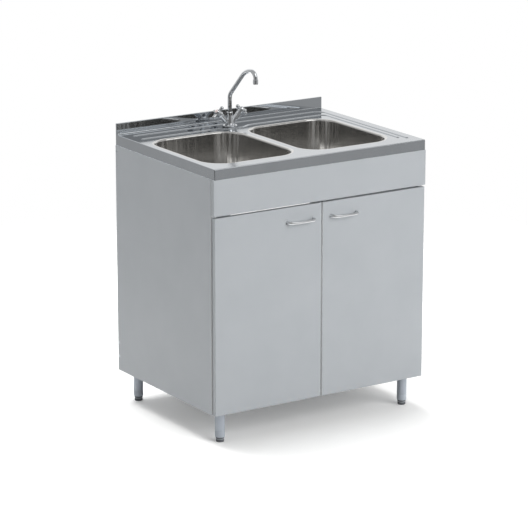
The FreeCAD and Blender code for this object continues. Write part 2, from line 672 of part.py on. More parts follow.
def hinge_arm(z):
    """Cranked arm: an eye round the pin, a hook out of the cup, and a channel along the panel."""
    pivot = hinge_pivot()
    half = ARM_THICKNESS / 2
    x0 = pivot.x + ARM_OFFSET - half
    x1 = pivot.x + ARM_OFFSET + half
    low = z - EYE_HALF_HEIGHT
    high = z + EYE_HALF_HEIGHT
    y_channel = Y_CARCASS + 10.0
    y_end = Y_CARCASS + ARM_REAR
    eye = rod(EYE_RADIUS, V(pivot.x, pivot.y, low), V(pivot.x, pivot.y, high))
    front = pivot.y - EYE_RADIUS
    hook = box(pivot.x, x1, front, front + ARM_THICKNESS, low, high)
    strip = box(x0, x1, front, y_channel + EPS, low, high)
    channel = box(x0, x1, y_channel, y_end, z - ARM_WIDTH / 2, z + ARM_WIDTH / 2)
    lip_depth = x0 + X_INNER - PLATE_BASE - FIT * 4
    lips = []
    for side in (-1, 1):
        edge = z + side * ARM_WIDTH / 2
        inner = edge - side * 1.2
        lips.append(box(x0 - lip_depth, x0, y_channel, y_end, min(edge, inner), max(edge, inner)))
    bore = rod(PIN_RADIUS + FIT, V(pivot.x, pivot.y, low - EPS), V(pivot.x, pivot.y, high + EPS))
    return joined([eye, hook, strip, channel] + lips).cut(bore)


def hinge_plate(z):
    """Mounting plate on the side panel, with the rib that carries the arm."""
    pivot = hinge_pivot()
    y = Y_CARCASS + PLATE_FROM_EDGE
    width, height = PLATE_SIZE
    length, rib_width = PLATE_RIB
    rib_top = pivot.x + ARM_OFFSET - ARM_THICKNESS / 2
    base = box(-X_INNER, -X_INNER + PLATE_BASE, y - width / 2, y + width / 2, z - height / 2, z + height / 2)
    base = base.makeFillet(5.0, edges_at(base, lambda b: b.XLength > PLATE_BASE / 2 and b.YLength < 0.1))
    rib = box(-X_INNER, rib_top, y - length / 2, y + length / 2, z - rib_width / 2, z + rib_width / 2)
    plate = base.fuse(rib)
    for offset in (-PLATE_SCREW_SPACING / 2, PLATE_SCREW_SPACING / 2):
        hole = rod(BOARD_SCREW_RADIUS + FIT, V(-X_INNER - EPS, y, z + offset), V(rib_top, y, z + offset))
        plate = plate.cut(hole)
    return plate


def make_hinges():
    heights = dict(zip(("lower", "upper"), HINGE_Z))
    arms = [hinge_arm(z) for z in HINGE_Z]
    plates = [hinge_plate(z) for z in HINGE_Z]
    for name, z in heights.items():
        cup = hinge_cup(z)
        save("left_" + name + "_hinge_cup", cup)
        save("right_" + name + "_hinge_cup", mirrored(cup))
    save("hinge_arms", Part.makeCompound(arms + [mirrored(arm) for arm in arms]))
    save("hinge_plates", Part.makeCompound(plates + [mirrored(plate) for plate in plates]))


def handle_section(angle):
    """One oval section of the bow: its feet are at 0 and 180 degrees, its middle at 90."""
    power = 2 / HANDLE_SQUARENESS
    rise = HANDLE_REACH - HANDLE_THICKNESS / 2

    def place(a):
        across_door = math.copysign(HANDLE_HOLE_SPACING / 2 * abs(math.cos(a)) ** power, math.cos(a))
        return V(across_door, -rise * abs(math.sin(a)) ** power, 0)

    step = 1e-3
    centre = place(angle)
    along = (place(min(angle + step, math.pi)) - place(max(angle - step, 0.0))).normalize()
    across = V(along.y, -along.x, 0)
    share = math.sin(angle) ** 2
    foot_thickness = HANDLE_LENGTH - HANDLE_HOLE_SPACING
    half_thickness = (foot_thickness + (HANDLE_THICKNESS - foot_thickness) * share) / 2
    half_height = (HANDLE_FOOT_HEIGHT + (HANDLE_GRIP_HEIGHT - HANDLE_FOOT_HEIGHT) * share) / 2
    tall = V(0, 0, half_height)
    thick = across * half_thickness
    longer, shorter = (tall, thick) if half_height > half_thickness else (thick, tall)
    oval = Part.Ellipse(centre + longer, centre + shorter, centre)
    return Part.Wire(oval.toShape())


def bow_handle():
    """Bow handle about its own middle: the door's face is at y = 0 and the grip is towards -y."""
    angles = [*HANDLE_STATIONS, 90.0, *(180.0 - a for a in reversed(HANDLE_STATIONS))]
    bow = Part.makeLoft([handle_section(math.radians(a)) for a in angles], True, False)
    behind = box(-HANDLE_LENGTH, HANDLE_LENGTH, 0, HANDLE_REACH, -HANDLE_LENGTH, HANDLE_LENGTH)
    bores = [
        rod(HANDLE_SCREW_RADIUS + FIT, V(x, EPS, 0), V(x, -HANDLE_SCREW_BITE - EPS / 2, 0))
        for x in (-HANDLE_HOLE_SPACING / 2, HANDLE_HOLE_SPACING / 2)
    ]
    return bow.cut([behind] + bores)


def make_doors():
    outer = -HALF_WIDTH + DOOR_SIDE_INSET
    board = box(outer, outer + DOOR_WIDTH, Y_FACE, Y_DOOR_BACK, Z_DOOR_BOTTOM, Z_DOOR_TOP)
    forward = V(0, -1, 0)
    tools = []
    for z in HINGE_Z:
        centre = cup_centre(z)
        tools.append(rod(CUP_RADIUS, centre - forward * EPS, centre + forward * CUP_DEPTH))
        for place in dowel_places(z):
            tools.append(rod(CUP_DOWEL_RADIUS + FIT, place - forward * EPS, place + forward * (CUP_DOWEL_DEPTH + FIT)))
    screws = []
    for side in (-1, 1):
        seat = V(-HANDLE_X + side * HANDLE_HOLE_SPACING / 2, Y_DOOR_BACK, HANDLE_Z)
        tools.append(screw_hole(forward, seat, BOARD + EPS, HANDLE_SCREW_RADIUS))
        screws.append(screw(forward, seat, BOARD + HANDLE_SCREW_BITE, HANDLE_SCREW_RADIUS, *HANDLE_SCREW_HEAD))
    door = board.cut(tools)
    handle = bow_handle()
    handle.translate(V(-HANDLE_X, Y_FACE, HANDLE_Z))
    save("left_door", door)
    save("right_door", mirrored(door))
    save("left_handle", handle)
    save("right_handle", mirrored(handle))
    save("left_handle_screws", Part.makeCompound(screws))
    save("right_handle_screws", Part.makeCompound([mirrored(s) for s in screws]))


# ---------------------------------------------------------------- sink
def bowl_form(x_range, outset):
    """Solid that fills the bowl, grown by outset: leaning walls, round corners, round floor edge."""
    x0, x1 = x_range[0] - outset, x_range[1] + outset
    y0, y1 = BOWL_Y[0] - outset, BOWL_Y[1] + outset
    lean = BOWL_DRAFT
    z_floor = Z_BOWL_FLOOR - outset
    top = rounded_rectangle(x0, x1, y0, y1, BOWL_CORNER + outset, Z_DECK)
    floor = rounded_rectangle(
        x0 + lean, x1 - lean, y0 + lean, y1 - lean, BOWL_CORNER + outset - lean, z_floor
    )
    form = Part.makeLoft([top, floor], True, True)
    return form.makeFillet(
        BOWL_FLOOR_RADIUS + outset, edges_at(form, lambda b: b.ZMax < z_floor + 0.01)
    )


def make_bowl(name, x_range, waste_x):
    x0, x1 = x_range
    y0, y1 = BOWL_Y
    inner = bowl_form(x_range, 0.0)
    outer = bowl_form(x_range, SHEET)
    spread = LIP_RADIUS + LIP_SEAM
    flange = slab(
        x0 - spread, x1 + spread, y0 - spread, y1 + spread, BOWL_CORNER + spread, Z_DECK - SHEET, Z_DECK
    )
    skin = outer.fuse(flange)

    def under_flange(b):
        level = abs(b.ZMax - Z_DECK + SHEET) < 0.01 and abs(b.ZMin - Z_DECK + SHEET) < 0.01
        return level and b.XMin > x0 - 2 and b.XMax < x1 + 2 and b.YMin > y0 - 2 and b.YMax < y1 + 2

    skin = skin.makeFillet(LIP_RADIUS - SHEET, edges_at(skin, under_flange))

    wide = spread * 2
    blank = slab(x0 - wide, x1 + wide, y0 - wide, y1 + wide, BOWL_CORNER + wide, Z_DECK - wide, Z_DECK)
    frame = blank.cut(inner)

    def lip_edge(b):
        level = abs(b.ZMax - Z_DECK) < 0.01 and abs(b.ZMin - Z_DECK) < 0.01
        return level and b.XMin > x0 - 1 and b.XMax < x1 + 1 and b.YMin > y0 - 1 and b.YMax < y1 + 1

    rounded = frame.makeFillet(LIP_RADIUS, edges_at(frame, lip_edge))
    hollow = inner.fuse(blank.cut(rounded))

    waste = V(waste_x, WASTE_Y, Z_BOWL_FLOOR)
    down = V(0, 0, -1)
    recess = rod(WASTE_RECESS_RADIUS, waste - down * EPS, waste + down * WASTE_RECESS)
    pad = rod(WASTE_RECESS_RADIUS + SHEET, waste, waste + down * (WASTE_RECESS + SHEET))
    hole = rod(WASTE_HOLE_RADIUS, waste - down * EPS, waste + down * (WASTE_RECESS + SHEET + EPS))
    save(name, skin.fuse(pad).cut([hollow, recess, hole]))


def rib_route(rib, detour):
    y = Y_BACK - rib["from_back"]
    x = HALF_WIDTH - rib["from_right"]
    points = [V(-HALF_WIDTH + rib["from_left"], y, Z_DECK)]
    radii = []
    if detour:
        ahead = y - DETOUR["forward"]
        flat = DETOUR["flat"]
        wide = DETOUR["half_width"]
        points += [V(TAP_X - wide, y, Z_DECK), V(TAP_X - flat, ahead, Z_DECK)]
        points += [V(TAP_X + flat, ahead, Z_DECK), V(TAP_X + wide, y, Z_DECK)]
        radii += [DETOUR["radius"]] * 4
    points += [V(x, y, Z_DECK), V(x, Y_FACE + rib["from_front"], Z_DECK)]
    radii.append(rib["corner"])
    return points, radii


def make_deck():
    """Pressed deck: rim folded down and in, upstand folded up at the back, raised ribs, cut-outs."""
    side = HALF_WIDTH - SINK_SIDE_INSET
    block = box(-side, side, Y_FACE, Y_BACK, Z_REST, Z_DECK)

    def folded(b):
        top = b.ZMin > Z_DECK - 0.01 and b.YMin < Y_BACK - 1
        upright = b.ZLength > RIM_HEIGHT / 2 and b.YMax < Y_FACE + 1
        return top or upright

    block = block.makeFillet(RIM_BEND, edges_at(block, folded))
    foot = Y_BACK - UPSTAND_THICKNESS
    top = Z_DECK + UPSTAND_HEIGHT
    upstand = box(-side, side, foot, Y_BACK, Z_DECK - RIM_BEND, top)
    upstand = upstand.makeFillet(1.5, edges_at(upstand, lambda b: b.ZMin > top - 0.01 and b.XLength > side))
    body = block.fuse(upstand)
    inner_side = side - SHEET
    cavity = box(-inner_side, inner_side, Y_FACE + SHEET, Y_BACK - SHEET, Z_REST + SHEET, Z_DECK - SHEET)
    cavity = cavity.makeFillet(
        RIM_BEND - SHEET, edges_at(cavity, lambda b: b.ZMin > Z_DECK - SHEET - 0.01 and b.YMin < Y_BACK - 2)
    )
    fold = box(
        -inner_side, inner_side, foot + SHEET, Y_BACK - SHEET, Z_DECK - RIM_BEND * 2, top - SHEET
    )
    opening = box(
        -side + RIM_RETURN, side - RIM_RETURN, Y_FACE + RIM_RETURN, Y_BACK - RIM_RETURN, Z_REST - EPS, Z_REST + EPS
    )
    cove = box(-side + RIM_BEND, side - RIM_BEND, foot - UPSTAND_COVE, foot, Z_DECK, Z_DECK + UPSTAND_COVE)
    cove_axis = V(-HALF_WIDTH, foot - UPSTAND_COVE, Z_DECK + UPSTAND_COVE)
    cove = cove.cut(rod(UPSTAND_COVE, cove_axis, cove_axis + V(UNIT_WIDTH, 0, 0)))
    body = body.fuse(cove)
    deck = body.cut([cavity, fold, opening])

    for rib, detour in ((OUTER_RIB, False), (INNER_RIB, True)):
        bead = swept_rib(*rib_route(rib, detour))
        groove = bead.copy()
        groove.translate(V(0, 0, -SHEET))
        deck = deck.fuse(bead).cut(groove)

    spread = LIP_RADIUS + LIP_SEAM
    for x0, x1 in (LEFT_BOWL_X, RIGHT_BOWL_X):
        deck = deck.cut(slab(
            x0 - spread, x1 + spread, BOWL_Y[0] - spread, BOWL_Y[1] + spread, BOWL_CORNER + spread,
            Z_DECK - SHEET - EPS, Z_DECK + EPS
        ))
    tap = V(TAP_X, TAP_Y, Z_DECK)
    deck = deck.cut(rod(TAP_HOLE_RADIUS, tap - V(0, 0, SHEET + EPS), tap + V(0, 0, EPS)))
    save("sink_deck", deck)


def sink_clip(y):
    """Angle clip on the left panel, hooked over the sink's return flange."""
    half = CLIP_WIDTH / 2
    hook_x = -HALF_WIDTH + SINK_SIDE_INSET + SHEET + 2.0
    flange_top = Z_REST + SHEET
    leg = box(-X_INNER, -X_INNER + CLIP_SHEET, y - half, y + half, Z_REST - CLIP_HEIGHT, flange_top + CLIP_SHEET)
    hook = box(hook_x, -X_INNER, y - half, y + half, flange_top, flange_top + CLIP_SHEET)
    hole = rod(
        BOARD_SCREW_RADIUS + FIT, V(-X_INNER - EPS, y, Z_REST - CLIP_HEIGHT / 2),
        V(-X_INNER + CLIP_SHEET + EPS, y, Z_REST - CLIP_HEIGHT / 2)
    )
    return leg.fuse(hook).cut(hole)


def make_sink():
    make_deck()
    make_bowl("left_bowl", LEFT_BOWL_X, LEFT_WASTE_X)
    make_bowl("right_bowl", RIGHT_BOWL_X, RIGHT_WASTE_X)
    clips = [sink_clip(y) for y in clip_places()]
    save("sink_clips", Part.makeCompound(clips + [mirrored(clip) for clip in clips]))


# ---------------------------------------------------------------- tap
def tap_point(x, y, z):
    return V(TAP_X + x, TAP_Y + y, Z_TAP + z)


def valve_axis(side):
    tilt = math.radians(VALVE_TILT)
    return V(side * math.cos(tilt), 0, math.sin(tilt))


def on_valve(profile, side):
    return turned(profile, tap_point(0, 0, 0), valve_axis(side))


def make_tap_body():
    base_top = TAP_BASE_HEIGHT
    hub = turned(
        [
            (0, 0), (TAP_BASE_RADIUS, 0), (TAP_BASE_RADIUS, base_top - 2.5), (TAP_BASE_RADIUS - 2.5, base_top),
            (14.0, base_top + 2.0), (12.5, base_top + 6.0), (COLUMN_RADIUS + 1.0, COLUMN_TOP - 8.0),
            (COLUMN_RADIUS, COLUMN_TOP), (0, COLUMN_TOP),
        ],
        tap_point(0, 0, 0),
    )
    arms = []
    for side in (-1, 1):
        arms.append(on_valve(
            [
                (0, 6.0), (VALVE_ARM_NECK, 6.0), (VALVE_ARM_NECK, VALVE_ARM_END - 27.0),
                (VALVE_ARM_RADIUS, VALVE_ARM_END - 21.0), (VALVE_ARM_RADIUS, VALVE_ARM_END - 6.0),
                (VALVE_ARM_RADIUS + 0.8, VALVE_ARM_END - 5.2), (VALVE_ARM_RADIUS + 0.8, VALVE_ARM_END - 1.2),
                (VALVE_ARM_RADIUS - 0.4, VALVE_ARM_END), (0, VALVE_ARM_END),
            ],
            side,
        ))
    under_deck = TAP_GASKET + TAP_SHANK
    shank = rod(TAP_SHANK_RADIUS, tap_point(0, 0, -under_deck), tap_point(0, 0, EPS))
    body = joined([hub, shank] + arms)
    below = box(
        TAP_X - 90, TAP_X + 90, TAP_Y - 90, TAP_Y + 90, Z_TAP - under_deck - 60, Z_TAP
    )
    body = body.cut(below).fuse(shank)
    cuts = [rod(SPOUT_RADIUS + FIT, tap_point(0, 0, SPOUT_SEAT), tap_point(0, 0, COLUMN_TOP + EPS))]
    for side in (-1, 1):
        start = tap_point(0, 0, 0) + valve_axis(side) * (VALVE_ARM_END - VALVE_BORE_DEPTH)
        cuts.append(rod(VALVE_BORE_RADIUS, start, start + valve_axis(side) * (VALVE_BORE_DEPTH + EPS)))
        inlet = tap_point(side * TAP_INLET_SPACING / 2, 0, -under_deck)
        cuts.append(rod(TAP_INLET_RADIUS, inlet - V(0, 0, EPS), inlet + V(0, 0, TAP_INLET_DEPTH)))
    save("tap_body", body.cut(cuts))


def handle_lobe(centre, direction):
    """One lobe of a cross handle: a neck that widens into a ball."""
    ball = LOBE_REACH - LOBE_RADIUS
    join = V(LOBE_RADIUS * math.sin(math.pi / 3), 0, ball - LOBE_RADIUS * math.cos(math.pi / 3))
    tip = V(0, 0, LOBE_REACH)
    outline = [
        Part.makeLine(V(0, 0, 0), V(LOBE_NECK, 0, 0)),
        Part.makeLine(V(LOBE_NECK, 0, 0), join),
        Part.Arc(join, V(LOBE_RADIUS, 0, ball), tip).toShape(),
        Part.makeLine(tip, V(0, 0, 0)),
    ]
    lobe = Part.Face(Part.Wire(outline)).revolve(V(0, 0, 0), V(0, 0, 1), 360)
    lobe.Placement = FreeCAD.Placement(centre, FreeCAD.Rotation(V(0, 0, 1), direction))
    return lobe


def make_valves():
    for name, side in (("hot", -1), ("cold", 1)):
        seat = VALVE_ARM_END - VALVE_BORE_DEPTH
        nose_radius, nose = HEADWORK_NOSE
        hex_top = VALVE_ARM_END + HEADWORK_HEX
        axis = valve_axis(side)
        origin = tap_point(0, 0, 0)
        barrel = on_valve([(0, seat), (VALVE_BORE_RADIUS - FIT, seat), (VALVE_BORE_RADIUS - FIT, VALVE_ARM_END),
                           (0, VALVE_ARM_END)], side)
        hexagon = prism(HEADWORK_FLATS, HEADWORK_HEX, origin + axis * VALVE_ARM_END, axis=axis)
        tip = on_valve([(0, hex_top), (nose_radius, hex_top), (nose_radius, hex_top + nose), (0, hex_top + nose)], side)
        spindle_start = seat + VALVE_BORE_DEPTH / 2
        bore = rod(SPINDLE_RADIUS + FIT, origin + axis * spindle_start, origin + axis * (hex_top + nose + EPS))
        save(name + "_headwork", joined([barrel, hexagon, tip]).cut(bore))
        save(name + "_spindle", rod(SPINDLE_RADIUS, origin + axis * (spindle_start + FIT), origin + axis * SPINDLE_END))

        hub = on_valve(
            [
                (nose_radius + 1.0, HUB_BOTTOM), (HUB_RADIUS - 1.0, HUB_BOTTOM), (HUB_RADIUS, HUB_BOTTOM + 2.0),
                (HUB_RADIUS + 1.2, HANDLE_CENTRE), (HUB_RADIUS, HUB_TOP - 3.0), (INDEX_RADIUS + 1.2, HUB_TOP),
                (0, HUB_TOP),
                (0, hex_top + nose + 0.4), (nose_radius + 1.0, hex_top + nose + 0.4),
            ],
            side,
        )
        centre = origin + axis * HANDLE_CENTRE
        across = V(0, 1, 0)
        lobes = []
        for direction in (across, across * -1, axis.cross(across), across.cross(axis)):
            lobes.append(handle_lobe(centre, direction))
        socket = rod(SPINDLE_RADIUS + FIT, origin + axis * HUB_BOTTOM, origin + axis * (SPINDLE_END + FIT))
        cover = on_valve([(0, HUB_BOTTOM - EPS), (nose_radius + 1.0, HUB_BOTTOM - EPS),
                          (nose_radius + 1.0, hex_top + nose + 0.4), (0, hex_top + nose + 0.4)], side)
        index_seat = on_valve([(0, HUB_TOP - INDEX_HEIGHT / 2), (INDEX_RADIUS, HUB_TOP - INDEX_HEIGHT / 2),
                               (INDEX_RADIUS, HUB_TOP + EPS), (0, HUB_TOP + EPS)], side)
        save(name + "_tap_handle", joined([hub] + lobes).cut([socket, cover, index_seat]))
        cap = HUB_TOP - INDEX_HEIGHT / 2
        save(name + "_index", on_valve([(0, cap), (INDEX_RADIUS - FIT, cap), (INDEX_RADIUS - FIT, HUB_TOP),
                                        (INDEX_RADIUS - 1.5, HUB_TOP + 0.8), (0, cap + INDEX_HEIGHT)], side))


def spout_route():
    """Centre line of the spout: riser, low bend, sloping run, wide crown bend and tight nose bend."""
    slope = math.radians(SPOUT_SLOPE)
    low = SPOUT_LOW_BEND * math.tan((math.pi / 2 - slope) / 2)
    corner_1 = V(0, 0, SPOUT_RISE + low)
    crown = SPOUT_CROWN_BEND * math.tan(slope / 2)
    nose = SPOUT_NOSE_BEND * math.tan(math.pi / 4)
    run = low + SPOUT_RUN + crown
    corner_2 = corner_1 + V(0, -run * math.cos(slope), run * math.sin(slope))
    corner_3 = corner_2 + V(0, -(crown + nose), 0)
    end = corner_3 + V(0, 0, -(nose + AERATOR_GRIP))
    points = [V(0, 0, SPOUT_SEAT + FIT), corner_1, corner_2, corner_3, end]
    radii = [SPOUT_LOW_BEND, SPOUT_CROWN_BEND, SPOUT_NOSE_BEND]
    return [tap_point(p.x, p.y, p.z) for p in points], radii


def make_spout():
    points, radii = spout_route()
    pipe = swept_rod(points, radii, SPOUT_RADIUS)
    longer = [points[0] - V(0, 0, EPS)] + points[1:-1] + [points[-1] - V(0, 0, EPS)]
    save("spout", pipe.cut(swept_rod(longer, radii, SPOUT_RADIUS - SPOUT_WALL)))
    end = points[-1]
    top = AERATOR_GRIP
    low = top - AERATOR_HEIGHT
    inner = SPOUT_RADIUS - SPOUT_WALL
    save("aerator", turned(
        [
            (SPOUT_RADIUS + FIT, 0), (SPOUT_RADIUS + FIT, top), (AERATOR_RADIUS - 1.5, top), (AERATOR_RADIUS, top - 1.5),
            (AERATOR_RADIUS, low + 4.0), (AERATOR_RADIUS - 1.0, low), (inner + 1.5, low), (inner + 1.5, low + 1.5),
            (inner, low + 1.5), (inner, 0),
        ],
        end,
    ))
    nut_low = COLUMN_TOP
    nut_top = COLUMN_TOP + SPOUT_NUT_HEIGHT
    save("spout_nut", turned(
        [
            (SPOUT_RADIUS + 2 * FIT, nut_low), (SPOUT_NUT_RADIUS, nut_low), (SPOUT_NUT_RADIUS, nut_top - 2.0),
            (SPOUT_NUT_RADIUS - 1.5, nut_top), (SPOUT_RADIUS + 2 * FIT, nut_top),
        ],
        tap_point(0, 0, 0),
    ))


def make_tap():
    make_tap_body()
    make_valves()
    make_spout()
    gasket = rod(TAP_BASE_RADIUS - 0.5, tap_point(0, 0, -TAP_GASKET), tap_point(0, 0, 0))
    shank_hole = rod(TAP_SHANK_RADIUS + FIT, tap_point(0, 0, -TAP_SHANK), tap_point(0, 0, EPS))
    save("tap_gasket", gasket.cut(shank_hole))
    nut_top = -TAP_GASKET - SHEET
    nut = prism(BACKNUT_FLATS, BACKNUT_HEIGHT, tap_point(0, 0, nut_top - BACKNUT_HEIGHT))
    save("tap_backnut", nut.cut(rod(TAP_SHANK_RADIUS + FIT, tap_point(0, 0, -TAP_SHANK), tap_point(0, 0, 0))))


# ---------------------------------------------------------------- waste
Z_RECESS = Z_BOWL_FLOOR - WASTE_RECESS
Z_UNDER_BOWL = Z_RECESS - SHEET
Z_WASTE_BODY = Z_UNDER_BOWL - WASTE_GASKET
Z_WASTE_CUP = Z_WASTE_BODY - WASTE_CUP_DEPTH
Z_STRAINER_PLATE = Z_RECESS - STRAINER_CUP_DEPTH + STRAINER_SHEET
Z_WASTE_END = Z_WASTE_CUP - OUTLET_LENGTH
Z_BRANCH = Z_WASTE_END - ELBOW_RADIUS
Z_TEE_END = Z_WASTE_END - TEE_DEPTH
PIPE_BORE = PIPE_RADIUS - PIPE_WALL


def strainer(x):
    cup_bore = STRAINER_CUP_RADIUS - STRAINER_SHEET
    dish = turned(
        [
            (0, Z_STRAINER_PLATE - STRAINER_SHEET), (STRAINER_CUP_RADIUS, Z_STRAINER_PLATE - STRAINER_SHEET),
            (STRAINER_CUP_RADIUS, Z_RECESS), (STRAINER_RADIUS, Z_RECESS), (STRAINER_RADIUS - 0.6, Z_RECESS + STRAINER_SHEET),
            (cup_bore + 1.5, Z_RECESS + STRAINER_SHEET), (cup_bore, Z_RECESS - 0.3), (cup_bore, Z_STRAINER_PLATE),
            (0, Z_STRAINER_PLATE),
        ],
        V(x, WASTE_Y, 0),
    )
    holes = [rod(WASTE_SCREW_RADIUS + 2 * FIT, V(x, WASTE_Y, Z_STRAINER_PLATE - 5), V(x, WASTE_Y, Z_STRAINER_PLATE + 5))]
    for radius, count in STRAINER_RINGS:
        for i in range(count):
            angle = 2 * math.pi * i / count
            hx = x + radius * math.cos(angle)
            hy = WASTE_Y + radius * math.sin(angle)
            holes.append(rod(STRAINER_HOLE_RADIUS, V(hx, hy, Z_STRAINER_PLATE - 5), V(hx, hy, Z_STRAINER_PLATE + 5)))
    return dish.cut(holes)


def waste_body(x):
    cup_bore = WASTE_HOLE_RADIUS + 0.5
    cup = cup_bore + WASTE_BODY_WALL
    centre = V(x, WASTE_Y, 0)
    body = turned(
        [
            (cup_bore, Z_WASTE_BODY), (STRAINER_RADIUS, Z_WASTE_BODY), (STRAINER_RADIUS, Z_WASTE_BODY - 4.0),
            (cup, Z_WASTE_BODY - 4.0), (cup, Z_WASTE_CUP + 8.0), (PIPE_RADIUS, Z_WASTE_CUP),
            (PIPE_RADIUS, Z_WASTE_END), (PIPE_BORE, Z_WASTE_END), (PIPE_BORE, Z_WASTE_CUP + 1.0),
            (cup_bore, Z_WASTE_CUP + 9.0),
        ],
        centre,
    )
    bridge_z = Z_WASTE_CUP + 10.0
    bar = box(
        x - cup_bore - EPS, x + cup_bore + EPS, WASTE_Y - BRIDGE_WIDTH / 2, WASTE_Y + BRIDGE_WIDTH / 2,
        bridge_z, bridge_z + BRIDGE_WIDTH
    )
    boss = rod(WASTE_SCREW_RADIUS + 3.0, V(x, WASTE_Y, bridge_z), V(x, WASTE_Y, bridge_z + BRIDGE_WIDTH + 3.0))
    hole = rod(WASTE_SCREW_RADIUS + FIT, V(x, WASTE_Y, bridge_z - EPS), V(x, WASTE_Y, Z_WASTE_BODY))
    return joined([body, bar, boss]).cut(hole)


def pipe_socket(mouth, direction):
    """Socket with its union nut: mouth is where the inner pipe's end rests, direction points to the open end."""
    outer = PIPE_RADIUS + PIPE_PLAY + SOCKET_WALL
    end = mouth + direction * SOCKET_LENGTH
    sleeve = rod(outer, mouth - direction * SOCKET_WALL, end)
    nut_start = end - direction * UNION_HEIGHT
    nut = prism(UNION_FLATS, UNION_HEIGHT, nut_start, sides=8, axis=direction)
    bore = rod(PIPE_RADIUS + PIPE_PLAY, mouth, end + direction * EPS)
    return sleeve.fuse(nut), bore


